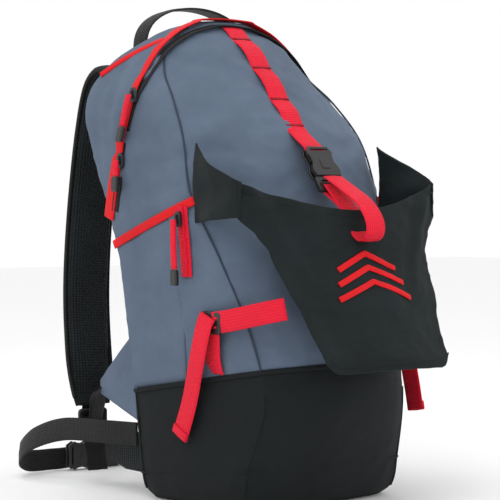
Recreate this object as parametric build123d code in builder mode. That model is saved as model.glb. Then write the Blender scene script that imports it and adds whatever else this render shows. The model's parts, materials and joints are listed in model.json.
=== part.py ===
from build123d import *
import os

os.makedirs("parts", exist_ok=True)

# Driving dimensions, in millimetres. The sling side faces -Y, the wearer's back +Y.
# The origin is on the floor, under the middle of the base.
wall = 3.0  # padded fabric wall
skin_gap = 0.4  # clearance between the wall and what is sewn over it
trim = 2.2  # thickness of webbing, binding and flap
far = 400.0  # half length of the blocks that cut panels out
lid_hinge_z = 372.0
zip_y = 78.0  # plane of the main zip, on the sides and over the top
strap_x = 74.0  # middle of a shoulder strap at its top
handle_x, handle_y, handle_z = 68.0, 141.0, 478.0
handle_rise = 42.0
sling_side = 129.0
daisy_wide = 25.0
belt_wide = 25.0
buckle_slide_gap = 0.4
flap_gap = 3.4  # the storm flap stands off the wall, over the zip
lock_x, lock_deep = 113.0, 5.0  # ladder locks, on the bag's sides
strap_lock_x, strap_lock_y, strap_lock_z = 98.0, 194.0, 67.0
wing_x, fin_x, fin_thick = 119.0, 104.0, 8.0
ear_x = 122.5

# height, back y, back half width, front seam y, front half width, front middle y
profile = [
    (0, 50, 110, -72, 88, -84),
    (10, 56, 119, -82, 98, -95),
    (40, 59, 123, -90, 99, -106),
    (110, 64, 127, -108, 91, -134),
    (175, 70, 130, -92, 95, -128),
    (248, 82, 135, -60, 108, -106),
    (315, 101, 141, -28, 122, -76),
    (372, 126, 143, -8, 117, -48),
    (415, 139, 138, 26, 106, -12),
    (442, 136, 124, 56, 95, 12),
    (468, 124, 98, 72, 80, 38),
    (488, 108, 64, 78, 56, 64),
    (500, 96, 30, 80, 28, 76),
]


def save(part, name):
    part.part.label = name
    export_step(part.part, f"parts/{name}.step")


def bag_solid(grow):
    # the whole bag, grown outwards by this much
    with BuildPart() as solid:
        for z, back_y, back_half, seam_y, seam_half, middle_y in profile:
            level = max(z, -grow) if z < 20 else z
            level = level + grow if z == 500 else level
            if z == 10 and grow < 0:
                level = z - grow / 2
            back, seam, middle = back_y + grow, seam_y - grow, middle_y - grow
            wide, narrow = back_half + grow, seam_half + grow
            bulge = (wide + narrow) / 2 + 4
            middle_side = (back + seam) / 2
            with BuildSketch(Plane.XY.offset(level)):
                with BuildLine():
                    ThreePointArc((wide, back), (0, back + 5), (-wide, back))
                    ThreePointArc((-wide, back), (-bulge, middle_side), (-narrow, seam))
                    ThreePointArc((-narrow, seam), (0, middle), (narrow, seam))
                    ThreePointArc((narrow, seam), (bulge, middle_side), (wide, back))
                make_face()
        loft()
    return solid.part


def layer(inner, outer):
    return bag_solid(outer) - bag_solid(inner)


def side_block(points, x_from=-far, x_to=far):
    # a block with this outline seen from the side, as (y, z) points
    with BuildPart() as block:
        with BuildSketch(Plane.YZ.offset(x_from)):
            with BuildLine():
                Polyline(*points, close=True)
            make_face()
        extrude(amount=x_to - x_from)
    return block.part


def front_block(points, y_from, y_to):
    # a block with this outline seen from the front, as (x, z) points
    with BuildPart() as block:
        with BuildSketch(Plane.XZ.offset(-y_to)):
            with BuildLine():
                Polyline(*points, close=True)
            make_face()
        extrude(amount=y_to - y_from)
    return block.part


def cut_panel(source, block, name):
    with BuildPart() as panel:
        add(source)
        add(block, mode=Mode.INTERSECT)
    save(panel, name)
    return panel


def ribbon(points, wide, thick, across, name=None, steps=12):
    # webbing that follows a smooth curve; across is the direction of its width
    path = Spline(*points)
    with BuildPart() as web:
        for i in range(steps + 1):
            along = path % (i / steps)
            normal = along.cross(Vector(*across))
            with BuildSketch(Plane(origin=path @ (i / steps), x_dir=normal.cross(along), z_dir=along)):
                Rectangle(wide, thick)
        loft(ruled=True)
    if name:
        save(web, name)
    return web


def side_x(y, z, grow):
    # distance from the middle plane to the bag's side, at this place
    probe = box_at((0, y - 0.1, z - 0.1), (far, y + 0.1, z + 0.1))
    return (bag_solid(grow) & probe).bounding_box().max.X


def box_at(low, high):
    with BuildPart() as block:
        with Locations(tuple((a + b) / 2 for a, b in zip(low, high))):
            Box(*(b - a for a, b in zip(low, high)))
    return block.part


def mirrored(point):
    return (-point[0], *point[1:])


# Panels of the bag: one wall, cut along its seams
wall_solid = layer(-wall, 0)
base_line = [(150, 98), (-160, 150)]
back_line = [(54, 98), (64, 175), (76, 248), (95, 315), (119, 372), (132, 415), (128, 446)]
seam_line = [(-100, 140), (-86, 175), (-54, 248), (-22, 315), (-2, lid_hinge_z)]

base_block = side_block([*base_line, (-200, 150), (-200, -20), (150, -20)])
cut_panel(wall_solid, base_block, "base_shell")
back_block = side_block([(150, 98), *back_line, (170, 446)])
cut_panel(wall_solid, back_block - base_block, "back_panel")
top_block = side_block([(200, 446.3), (128, 446.3), (zip_y, 480), (zip_y, 560), (200, 560)])
cut_panel(wall_solid, top_block, "top_panel")
gusset_outline = [
    (zip_y, 479.6), (zip_y, lid_hinge_z), (88, 292), (94, 316), (118.6, 372), (131.6, 415), (127.6, 446),
]
gusset_block = side_block(gusset_outline)
side_outline = [(54, 100), *back_line[1:3], (87.6, 291), (zip_y - 0.4, 371.6), *reversed(seam_line)]
side_block_whole = side_block(side_outline) - base_block
front_outline = [(y - 0.4, z) for y, z in seam_line[:-1]] + [(-2.4, lid_hinge_z - 0.4)]
front_block_low = side_block([*front_outline, (-200, lid_hinge_z - 0.4), (-200, 140)]) - base_block
cut_panel(wall_solid, front_block_low, "front_panel")
for side, sign in (("left", -1), ("right", 1)):
    half = box_at((min(0, sign * far), -far, 0), (max(0, sign * far), far, 600))
    cut_panel(wall_solid, gusset_block & half, f"{side}_gusset")
    cut_panel(wall_solid, side_block_whole & half, f"{side}_panel")

# Lid: the upper front, which folds forwards and down when the main zip is open
lid_seam = [(0, lid_hinge_z + 0.6), (34, 415), (64, 442), (zip_y - 4, 466), (zip_y - 4, 560)]
lid_sides = side_block([(zip_y - 0.6, 560), (zip_y - 0.6, lid_hinge_z + 0.6), *lid_seam])
lid_front = side_block([*[(y - 0.4, z) for y, z in lid_seam], (-200, 560), (-200, lid_hinge_z + 0.6)])
cut_panel(wall_solid, lid_front, "lid_front_panel")
cut_panel(wall_solid, lid_sides, "lid_side_panels")

# Main zip and its storm flap, which stays with the back of the bag
flap_solid = layer(skin_gap, skin_gap + trim)
flap_outline = [
    (zip_y + 0.4, 560), (zip_y + 0.4, 374), (82, 330), (89, 292), (96, 300), (93, 330), (zip_y + 12, 374),
    (zip_y + 12, 560),
]
cut_panel(layer(flap_gap, flap_gap + trim), side_block(flap_outline), "storm_flap")
tape_outline = [(zip_y - 14, 371), (zip_y + 4, 371), (88, 296), (70, 296)]
cut_panel(flap_solid, side_block(tape_outline), "main_zip_tape")
lid_tape = side_block([(zip_y - 14, 560), (zip_y - 14, 375), (zip_y - 1, 375), (zip_y - 1, 560)])
cut_panel(flap_solid, lid_tape, "lid_zip_tape")
yoke_outline = [(zip_y + 13, 468), (126, 440), (131, 440), (131, 445), (zip_y + 13, 474)]
cut_panel(flap_solid, side_block(yoke_outline), "yoke_binding")

# Side pockets: a panel over each side, its slanted top bound in red, with an upright zip
pocket_top_back, pocket_top_front = (78, 261), (-11, 297)
binding_wide = 8
zip_near, zip_far = -27, -13
zip_low, zip_high = 232, 299
for side, sign in (("left", -1), ("right", 1)):
    half = box_at((min(0, sign * far), -far, 0), (max(0, sign * far), far, 600))
    pocket_outline = [
        pocket_top_back, pocket_top_front, (zip_far + 2, 229), (zip_near - 2, 229), (zip_near - 2, 152),
        (60, 138), (66, 190),
    ]
    cut_panel(flap_solid, side_block(pocket_outline) & half, f"{side}_pocket")
    lip = [(84, 262), (-32, 307), (-32, 307 + binding_wide), (84, 262 + binding_wide)]
    cut_panel(flap_solid, side_block(lip) & half, f"{side}_pocket_binding")
    track_outline = [(zip_near, zip_low), (zip_far, zip_low), (zip_far, zip_high), (zip_near, zip_high + 5)]
    track = side_block(track_outline)
    cut_panel(flap_solid, track & half, f"{side}_pocket_zip")

# Back: stiffening sheet inside, foam pads outside
sheet_block = front_block([(-95, 40), (95, 40), (95, 410), (-95, 410)], 30, 200)
sheet_zone = sheet_block & side_block([(40, 30), (60, 400), (170, 430), (170, 30)])
cut_panel(layer(-wall - 2.4, -wall - 0.4), sheet_zone, "frame_sheet")
pad_solid = layer(skin_gap, 9)
pad_places = {
    "left_back_pad": [(-88, 150), (-14, 150), (-14, 400), (-88, 400)],
    "right_back_pad": [(14, 150), (88, 150), (88, 400), (14, 400)],
    "lumbar_pad": [(-88, 62), (88, 62), (88, 140), (-88, 140)],
}
for name, outline in pad_places.items():
    cut_panel(pad_solid, front_block(outline, 50, 200), name)

# Daisy chain: webbing down the middle of the front, the upper part on the lid
half_daisy = daisy_wide / 2
daisy_outline = [(-half_daisy, 376), (half_daisy, 376), (half_daisy, 494), (-half_daisy, 494)]
daisy_upper = front_block(daisy_outline, -90, 62)
cut_panel(flap_solid, daisy_upper, "daisy_chain")
buckle_strap_outline = [(-half_daisy, 352), (half_daisy, 352), (half_daisy, 371), (-half_daisy, 371)]
daisy_lower = front_block(buckle_strap_outline, -90, 0)
cut_panel(flap_solid, daisy_lower, "buckle_strap")

# Front buckle: the socket hangs from the buckle strap, the plug carries the sling strap
buckle_wide, buckle_deep = 33.0, 11.0
socket_long, plug_long = 34.0, 16.0
buckle_plane = Plane(origin=(0, -70, 357), x_dir=(1, 0, 0), z_dir=(0, -0.82, 0.57))
# its local x is the width, its local y runs up the bag, its z stands off the front
with BuildPart() as front_socket:
    with BuildSketch(buckle_plane):
        with Locations((0, -socket_long / 2)):
            RectangleRounded(buckle_wide, socket_long, 4)
    extrude(amount=buckle_deep)
    with BuildSketch(buckle_plane.offset(2)):
        with Locations((0, -socket_long / 2 - 6)):
            Rectangle(buckle_wide - 7, socket_long - 10)
    extrude(amount=buckle_deep - 4, mode=Mode.SUBTRACT)
save(front_socket, "front_buckle_socket")
with BuildPart() as front_plug:
    with BuildSketch(buckle_plane.offset(2 + buckle_slide_gap)):
        with Locations((0, -socket_long / 2 - 8)):
            Rectangle(buckle_wide - 8, socket_long - 15)
    extrude(amount=buckle_deep - 4 - 2 * buckle_slide_gap)
    with BuildSketch(buckle_plane.offset(1)):
        with Locations((0, -socket_long - plug_long / 2 - 0.6)):
            RectangleRounded(buckle_wide, plug_long, 3)
    extrude(amount=buckle_deep - 2)
    with BuildSketch(buckle_plane.offset(-1)):
        with Locations((0, -socket_long - plug_long / 2 - 0.6)):
            RectangleRounded(buckle_wide - 6, 5, 1)
    extrude(amount=buckle_deep + 2, mode=Mode.SUBTRACT)
save(front_plug, "front_buckle_plug")
loop_route = [(0, -114, 328), (0, -132, 316), (0, -149, 298), (0, -155, 278)]
loop_thick = 7.0
ribbon(loop_route, daisy_wide, loop_thick, (1, 0, 0), "sling_strap_tail")


# Sling: a curved sheet with a T outline that hangs from an ear on each side of the bag
def sling_sheet(front, back):
    # the sling's sheet between two distances in front of its middle surface
    levels = [(334, 134, -108, -127), (300, 130, -112, -140), (256, 128, -116, -151), (200, 124, -146, -178),
              (136, 120, -186, -206)]
    with BuildPart() as sheet:
        for z, half, side_y, middle_y in levels:
            with BuildSketch(Plane.XY.offset(z)):
                with BuildLine():
                    ThreePointArc((-half, side_y - front), (0, middle_y - front), (half, side_y - front))
                    Line((half, side_y - front), (half, side_y - back))
                    ThreePointArc((half, side_y - back), (0, middle_y - back), (-half, side_y - back))
                    Line((-half, side_y - back), (-half, side_y - front))
                make_face()
        loft()
    return sheet.part


sling_outline = [
    (-sling_side, 326), (-60, 306), (0, 299), (60, 306), (sling_side, 326), (124, 292), (100, 258), (96, 225),
    (84, 190), (80, 160), (70, 144), (-70, 144), (-80, 160), (-84, 190), (-96, 225), (-100, 258), (-124, 292),
]
cut_panel(sling_sheet(0, -wall), front_block(sling_outline, -240, -60), "sling_panel")
motif = front_block([(-46, 232), (0, 250), (46, 232), (46, 214), (0, 232), (-46, 214)], -240, -60)
cut_panel(sling_sheet(1.2, 0.2), motif, "sling_motif")
with BuildPart() as sling_ears:
    for sign in (-1, 1):
        with BuildSketch(Plane.YZ.offset(sign * ear_x)):
            with BuildLine():
                Polyline((-34, 366), (-105, 326), (-105, 292), (-34, 286), close=True)
            make_face()
        extrude(amount=sign * wall)
save(sling_ears, "sling_ears")

# Compression straps: an anchor in the base seam, a ladder lock, a tail and a strap to the sling
strap_y = -54.0
tail_routes = {
    "left": [(-121.5, -50, 196), (-123, -43, 160), (-122, -26, 110), (-122.5, -4, 64)],
    "right": [(124, -54, 196), (131, -64, 160), (134, -72, 120), (136, -78, 84)],
}
for side, tail_route in tail_routes.items():
    ribbon(tail_route, daisy_wide, trim, (0, 1, 0), f"{side}_strap_tail")
with BuildPart() as strap_anchors:
    for sign in (-1, 1):
        anchor_low, anchor_middle = (sign * 112.6, strap_y + 3, 140), (sign * 113.4, strap_y + 2, 158)
        anchor_route = [anchor_low, anchor_middle, (sign * 114.8, strap_y, 173)]
        add(ribbon(anchor_route, daisy_wide, trim, (0, 1, 0)).part)
save(strap_anchors, "strap_anchors")
with BuildPart() as ladder_locks:
    for sign in (-1, 1):
        with BuildSketch(Plane.YZ.offset(sign * lock_x)):
            with Locations((strap_y, 187)):
                RectangleRounded(30, 20, 3)
                Rectangle(24, 4, mode=Mode.SUBTRACT)
        extrude(amount=sign * lock_deep)
save(ladder_locks, "ladder_locks")
with BuildPart() as sling_straps:
    for sign in (-1, 1):
        web_route = [(sign * 114, -72, 190), (sign * 106, -116, 198), (sign * 94, -142, 204)]
        add(ribbon(web_route, daisy_wide - 5, trim, (0, 0, 1)).part)
save(sling_straps, "sling_side_straps")

# Grab handle, sewn at both ends to the top of the back
with BuildPart() as handle:
    with BuildSketch(Plane.XZ.offset(-handle_y - 13)):
        with BuildLine():
            ThreePointArc((-handle_x, handle_z - 8), (0, handle_z + handle_rise), (handle_x, handle_z - 8))
            Line((handle_x, handle_z - 8), (handle_x - trim, handle_z - 8))
            ThreePointArc((handle_x - trim, handle_z - 8), (0, handle_z + handle_rise - trim),
                          (trim - handle_x, handle_z - 8))
            Line((trim - handle_x, handle_z - 8), (-handle_x, handle_z - 8))
        make_face()
    extrude(amount=26)
save(handle, "grab_handle")
with BuildPart() as handle_feet:
    for sign in (-1, 1):
        with Locations((sign * (handle_x - 1), handle_y - 1, handle_z - 19)):
            Box(6, 9, 6.5)
save(handle_feet, "handle_feet")

# Shoulder straps: padded upper part, ladder lock, free tail and the webbing to the side wing
pad_route = [
    (149, 445), (176, 450), (198, 432), (211, 385), (218, 320), (219, 255), (214, 200), (206, 150), (196, 104),
    (191, 84),
]
pad_spread = [0, 0, 1, 3, 7, 12, 17, 20, 22, 22]
for side, sign in (("left", -1), ("right", 1)):
    route = [(sign * (strap_x + lean), y, z) for lean, (y, z) in zip(pad_spread, pad_route)]
    ribbon(route, 56, 12, (1, 0, 0), f"{side}_shoulder_strap", 16)
    with BuildPart() as slider:
        with BuildSketch(Plane.XZ.offset(-strap_lock_y)):
            with Locations((sign * strap_lock_x, strap_lock_z)):
                RectangleRounded(34, 24, 4)
                Rectangle(26, 5, mode=Mode.SUBTRACT)
        extrude(amount=6)
    save(slider, f"{side}_strap_lock")
    with BuildPart() as webbing:
        lower_route = [(sign * 98, 181, 74), (sign * 107, 165, 94), (sign * 116, 147, 110)]
        add(ribbon(lower_route, daisy_wide, trim, (1, 0, 0)).part)
        free_route = [(sign * 98, 188, 52), (sign * 98, 184, 34), (sign * 99, 178, 14)]
        add(ribbon(free_route, daisy_wide, trim, (1, 0, 0)).part)
    save(webbing, f"{side}_strap_webbing")
with BuildPart() as wings:
    for sign in (-1, 1):
        with BuildSketch(Plane.YZ.offset(sign * wing_x)):
            with BuildLine():
                Polyline((73, 172), (68, 78), (142, 102), (144, 116), close=True)
            make_face()
        extrude(amount=sign * wall)
save(wings, "side_wings")

# Hip belt, closed, lying behind the bag on the floor
belt_low = belt_wide / 2 + 0.4
buckle_z = belt_low + 3.6
belt_half = [(124, 72, 65), (134, 120, 64), (143, 180, 61), (149, 232, 46), (147, 264, 27), (124, 284, 14.5),
             (90, 288, belt_low)]
ribbon([*[mirrored(p) for p in belt_half], (-76, 288, belt_low)], belt_wide, trim, (0, 0, 1), "left_belt", 20)
ribbon([*belt_half, (42, 288, belt_low), (-4, 288, belt_low)], belt_wide, trim, (0, 0, 1), "right_belt", 24)
belt_depth = 10.0
with BuildPart() as belt_socket:
    with Locations((-58, 288, buckle_z)):
        Box(34, belt_depth, 32)
    fillet(belt_socket.edges().filter_by(Axis.Y), 3)
    with Locations((-54, 288, buckle_z)):
        Box(28, belt_depth - 4, 24, mode=Mode.SUBTRACT)
save(belt_socket, "belt_buckle_socket")
with BuildPart() as belt_plug:
    with Locations((-53, 288, buckle_z)):
        Box(24, belt_depth - 5, 23)
    with Locations((-23, 288, buckle_z)):
        Box(34, belt_depth - 2, 31)
    with Locations((-12, 288, buckle_z)):
        Box(14, 3.4, 27, mode=Mode.SUBTRACT)
save(belt_plug, "belt_buckle_plug")
with BuildPart() as hip_fins:
    for sign in (-1, 1):
        with BuildSketch(Plane.YZ.offset(sign * fin_x)):
            with BuildLine():
                Polyline((70, 66), (66, 24), (112, 20), (134, 30), (134, 48), (112, 60), close=True)
            make_face()
        extrude(amount=sign * fin_thick)
save(hip_fins, "hip_fins")

# Zip sliders with their pulls. A pull hangs from its slider and swings outwards.
pull_thick, slider_high, slider_deep = 3.0, 14.0, 5.0


def slider_and_pull(name, y, z, sign, long, clear):
    # sign is +1 on the right side and -1 on the left; clear is the gap over the zip's teeth
    face = side_x(y, z, skin_gap + trim + clear)
    low_face = max(side_x(y, z - long - 16, skin_gap + trim + 0.5), face - 6)
    with BuildPart() as body:
        with Locations((sign * (face + slider_deep / 2), y, z)):
            Box(slider_deep, 9, slider_high)
    save(body, f"{name}_slider")
    reach = slider_deep + 2.5
    top = Vector(sign * (face + reach), y, z)
    end = Vector(sign * (low_face + reach + 1.5), y, z - long - 16)
    tip = top + (end - top) * (long / (long + 16))
    with BuildPart() as pull:
        for start, stop, wide, thick in ((top, tip, 8, pull_thick), (tip, end, 11, pull_thick + 2)):
            with BuildSketch(Plane(origin=start, x_dir=(0, 1, 0), z_dir=stop - start)):
                Rectangle(wide, thick)
            extrude(amount=(stop - start).length)
    save(pull, f"{name}_pull")


slider_and_pull("upper_main", zip_y - 13.5, 418, -1, 34, 4.9)
slider_and_pull("lower_main", zip_y - 11.5, 350, -1, 18, 1.5)
for side, sign in (("left", -1), ("right", 1)):
    slider_and_pull(f"{side}_pocket", (zip_near + zip_far) / 2, 290, sign, 52, 2.2)
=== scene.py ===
import json
import math
import bpy
from mathutils import Matrix, Vector, noise

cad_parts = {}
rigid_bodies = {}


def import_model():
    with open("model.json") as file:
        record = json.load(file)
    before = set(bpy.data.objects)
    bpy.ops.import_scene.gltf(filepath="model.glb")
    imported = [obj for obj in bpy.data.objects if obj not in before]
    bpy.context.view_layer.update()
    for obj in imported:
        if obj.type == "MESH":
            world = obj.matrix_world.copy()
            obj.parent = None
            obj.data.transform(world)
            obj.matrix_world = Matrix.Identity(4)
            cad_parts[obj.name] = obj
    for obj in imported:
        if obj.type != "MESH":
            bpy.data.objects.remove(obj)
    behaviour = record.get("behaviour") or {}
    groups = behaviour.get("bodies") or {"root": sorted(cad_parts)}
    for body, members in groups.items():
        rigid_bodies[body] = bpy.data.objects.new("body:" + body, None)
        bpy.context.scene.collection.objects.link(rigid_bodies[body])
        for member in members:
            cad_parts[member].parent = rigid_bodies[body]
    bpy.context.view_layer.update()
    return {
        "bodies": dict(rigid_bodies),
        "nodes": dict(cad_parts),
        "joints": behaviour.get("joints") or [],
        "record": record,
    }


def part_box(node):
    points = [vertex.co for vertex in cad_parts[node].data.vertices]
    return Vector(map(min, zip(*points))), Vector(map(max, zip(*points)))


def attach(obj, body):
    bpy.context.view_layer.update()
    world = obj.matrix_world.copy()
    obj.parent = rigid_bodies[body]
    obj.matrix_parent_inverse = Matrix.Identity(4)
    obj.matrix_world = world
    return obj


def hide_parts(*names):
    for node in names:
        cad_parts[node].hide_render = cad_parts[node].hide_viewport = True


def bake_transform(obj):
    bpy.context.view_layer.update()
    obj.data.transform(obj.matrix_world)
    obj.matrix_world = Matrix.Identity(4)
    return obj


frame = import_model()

mm = 0.001
sides = (("left", -1), ("right", 1))

# The bag's outline at each height: height, back y, back half width, front seam y, front half width, front middle y
bag = {
    "levels": [
        (0, 50, 110, -72, 88, -84), (10, 56, 119, -82, 98, -95), (40, 59, 123, -90, 99, -106),
        (110, 64, 127, -108, 91, -134), (175, 70, 130, -92, 95, -128), (248, 82, 135, -60, 108, -106),
        (315, 101, 141, -28, 122, -76), (372, 126, 143, -8, 117, -48), (415, 139, 138, 26, 106, -12),
        (442, 136, 124, 56, 95, 12), (468, 124, 98, 72, 80, 38), (488, 108, 64, 78, 56, 64),
        (500, 96, 30, 80, 28, 76),
    ],
    "zipY": 78, "baseBack": 112, "baseSlope": -0.168, "ridge": 500,
}


# Shape helpers, in millimetres until a mesh is made
def levelAt(z):  # the outline's five numbers at a height, smooth between the levels
    rows = bag["levels"]
    z = min(max(z, 0), bag["ridge"])
    i = max(k for k in range(len(rows) - 1) if rows[k][0] <= z)
    a, b = rows[i], rows[i + 1]
    before, after = rows[max(i - 1, 0)], rows[min(i + 2, len(rows) - 1)]
    span = b[0] - a[0]
    t = (z - a[0]) / span
    out = []
    for k in range(1, 6):
        slopeA = (b[k] - before[k]) / (b[0] - before[0]) * span
        slopeB = (after[k] - a[k]) / (after[0] - a[0]) * span
        h = t * t * (3 - 2 * t)
        out.append(a[k] + (b[k] - a[k]) * h + slopeA * t * (1 - t) ** 2 - slopeB * t * t * (1 - t))
    return out


def circleThrough(p, q, r):  # centre and radius of the circle through three points
    ax, ay, bx, by, cx, cy = *p, *q, *r
    d = 2 * (ax * (by - cy) + bx * (cy - ay) + cx * (ay - by))
    if abs(d) < 1e-9:
        d = 1e-9
    ux = ((ax**2 + ay**2) * (by - cy) + (bx**2 + by**2) * (cy - ay) + (cx**2 + cy**2) * (ay - by)) / d
    uy = ((ax**2 + ay**2) * (cx - bx) + (bx**2 + by**2) * (ax - cx) + (cx**2 + cy**2) * (bx - ax)) / d
    return ux, uy, math.hypot(ax - ux, ay - uy)


def arcPoint(p, q, r, t):  # a point part of the way along the arc from p through q to r
    ux, uy, radius = circleThrough(p, q, r)
    a = math.atan2(p[1] - uy, p[0] - ux)
    b = math.atan2(q[1] - uy, q[0] - ux)
    c = math.atan2(r[1] - uy, r[0] - ux)
    turn = (c - a) % (2 * math.pi)
    if (b - a) % (2 * math.pi) > turn:
        turn -= 2 * math.pi
    return ux + radius * math.cos(a + turn * t), uy + radius * math.sin(a + turn * t)


def corners(z):  # the outline's numbers at a height, with the side's widest x and the y it is at
    backY, backHalf, seamY, seamHalf, middleY = levelAt(z)
    return backY, backHalf, seamY, seamHalf, middleY, (backHalf + seamHalf) / 2 + 4, (backY + seamY) / 2


def sidePoint(sign, y, z):  # on the side, or on the front where y is ahead of the seam
    backY, backHalf, seamY, seamHalf, middleY, bulge, middle = corners(z)
    if y >= seamY:
        ux, uy, radius = circleThrough((backHalf, backY), (bulge, middle), (seamHalf, seamY))
        x = ux + math.sqrt(max(radius**2 - (y - uy) ** 2, 0)) if bulge > ux else ux
    else:
        ux, uy, radius = circleThrough((-seamHalf, seamY), (0, middleY), (seamHalf, seamY))
        x = math.sqrt(max(radius**2 - (y - uy) ** 2, 0))
    return Vector((sign * x, y, z))


def frontPoint(x, z):
    backY, backHalf, seamY, seamHalf, middleY, bulge, middle = corners(z)
    ux, uy, radius = circleThrough((-seamHalf, seamY), (0, middleY), (seamHalf, seamY))
    return Vector((x, uy - math.sqrt(max(radius**2 - x * x, 0)), z))


def backPoint(x, z):
    backY, backHalf = corners(z)[:2]
    return Vector((x, backY + 5 * (1 - (x / backHalf) ** 2), z))


def normalOf(place, a, b, out):  # outward normal of a surface function at (a, b)
    p = place(a, b)
    n = (place(a + 1, b) - p).cross(place(a, b + 1) - p)
    n.normalize()
    return n if n.dot(out) > 0 else -n


def curveThrough(points, count):  # evenly spaced points on a smooth curve through these
    dense = []
    last = len(points) - 1
    for i in range(last):
        p0, p1, p2, p3 = (Vector(points[min(max(k, 0), last)]) for k in (i - 1, i, i + 1, i + 2))
        for k in range(16):
            t = k / 16
            dense.append(0.5 * (2 * p1 + (p2 - p0) * t + (2 * p0 - 5 * p1 + 4 * p2 - p3) * t * t
                                + (3 * p1 - p0 - 3 * p2 + p3) * t**3))
    dense.append(Vector(points[-1]))
    lengths = [0]
    for a, b in zip(dense, dense[1:]):
        lengths.append(lengths[-1] + (b - a).length)
    out, k = [], 0
    for i in range(count):
        want = lengths[-1] * i / (count - 1)
        while k < len(lengths) - 2 and lengths[k + 1] < want:
            k += 1
        step = lengths[k + 1] - lengths[k]
        out.append(dense[k].lerp(dense[k + 1], (want - lengths[k]) / step if step else 0))
    return out


def directionAt(points, i):  # the way a route runs at one of its points
    return (points[min(i + 1, len(points) - 1)] - points[max(i - 1, 0)]).normalized()


# Mesh helpers
def selectOnly(piece):
    bpy.ops.object.select_all(action="DESELECT")
    piece.select_set(True)
    bpy.context.view_layer.objects.active = piece


def applyModifier(piece, kind, **settings):
    selectOnly(piece)
    modifier = piece.modifiers.new(kind.lower(), kind)
    for key, value in settings.items():
        setattr(modifier, key, value)
    bpy.ops.object.modifier_apply(modifier=modifier.name)


def clothMesh(name, rows, loop=False, thick=0.0, flip=False):
    # a grid of points, in millimetres, made a mesh with a map in real metres; thick grows inwards
    if loop:
        rows = [row + [row[0]] for row in rows]
    high, wide = len(rows), len(rows[0])
    mesh = bpy.data.meshes.new(name)
    faces = []
    for r in range(high - 1):
        for c in range(wide - 1):
            a = r * wide + c
            quad = (a, a + 1, a + wide + 1, a + wide)
            faces.append(quad[::-1] if flip else quad)
    mesh.from_pydata([p * mm for row in rows for p in row], [], faces)
    across, along = [0.0], [0.0]
    middle = rows[high // 2]
    for a, b in zip(middle, middle[1:]):
        across.append(across[-1] + (b - a).length * mm)
    column = [row[wide // 2] for row in rows]
    for a, b in zip(column, column[1:]):
        along.append(along[-1] + (b - a).length * mm)
    layer = mesh.uv_layers.new(name="cloth")
    for polygon in mesh.polygons:
        for k in polygon.loop_indices:
            v = mesh.loops[k].vertex_index
            layer.data[k].uv = (across[v % wide], along[v // wide])
    piece = bpy.data.objects.new(name, mesh)
    bpy.context.scene.collection.objects.link(piece)
    if loop:
        selectOnly(piece)
        bpy.ops.object.mode_set(mode="EDIT")
        bpy.ops.mesh.select_all(action="SELECT")
        bpy.ops.mesh.remove_doubles(threshold=0.00001)
        bpy.ops.object.mode_set(mode="OBJECT")
    if thick:
        applyModifier(piece, "SOLIDIFY", thickness=thick * mm, offset=-1.0, use_even_offset=False)
    mesh.shade_smooth()
    return piece


def finishPiece(piece, material, body, nodes=()):
    piece.data.materials.clear()
    piece.data.materials.append(material)
    if body:
        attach(piece, body)
    if nodes:
        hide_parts(*nodes)
    return piece


def joinPieces(name, parts):
    selectOnly(parts[0])
    for part in parts:
        part.select_set(True)
    if len(parts) > 1:
        bpy.ops.object.join()
    parts[0].name = name
    parts[0].data.name = name
    return parts[0]


def webbing(name, points, outs, wide, thick=1.6, crown=0.25):
    # a woven strap with rounded edges along a route; outs are the directions its face looks
    rows = []
    for i in range(len(points)):
        along = directionAt(points, i)
        out = outs[i] if isinstance(outs, list) else Vector(outs)
        across = along.cross(out).normalized()
        face = across.cross(along).normalized()
        ring = []
        for s, h in ((-1, 0.0), (-0.96, 0.42), (-0.6, 0.5), (0, 0.5 + crown), (0.6, 0.5), (0.96, 0.42),
                     (1, 0.0), (0.96, -0.42), (0.6, -0.5), (0, -0.5), (-0.6, -0.5), (-0.96, -0.42)):
            ring.append(points[i] + across * (s * wide / 2) + face * (h * thick))
        rows.append(ring)
    piece = clothMesh(name, rows, loop=True)
    capEnds(piece)
    layer = piece.data.uv_layers["cloth"]
    return remapStrap(piece, layer, points, outs)


def capEnds(piece):
    selectOnly(piece)
    bpy.ops.object.mode_set(mode="EDIT")
    bpy.ops.mesh.select_mode(type="VERT")
    bpy.ops.mesh.select_all(action="DESELECT")
    bpy.ops.mesh.select_non_manifold()
    bpy.ops.mesh.fill_holes(sides=0)
    bpy.ops.mesh.select_all(action="SELECT")
    bpy.ops.mesh.normals_make_consistent(inside=False)
    bpy.ops.object.mode_set(mode="OBJECT")


def remapStrap(piece, layer, points, outs):
    # u runs across the strap and v along it, both in metres, so ribs follow the strap
    lengths = [0.0]
    for a, b in zip(points, points[1:]):
        lengths.append(lengths[-1] + (b - a).length)
    frames = []
    for i, p in enumerate(points):
        along = directionAt(points, i)
        out = outs[i] if isinstance(outs, list) else Vector(outs)
        frames.append(along.cross(out).normalized())
    ring = 12
    total = len(points) * ring
    for polygon in piece.data.polygons:
        for k in polygon.loop_indices:
            v = piece.data.loops[k].vertex_index
            i = min(v, total - 1) // ring
            p = piece.data.vertices[v].co / mm - points[i]
            layer.data[k].uv = (p.dot(frames[i]) * mm, lengths[i] * mm)
    return piece


def surfaceBand(name, places, normals, wide, thick, lift):
    # a tape that lies on the bag: its route is on the surface, raised by lift
    points = [p + n * (lift + thick / 2) for p, n in zip(places, normals)]
    return webbing(name, points, normals, wide, thick, 0.1)


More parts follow.
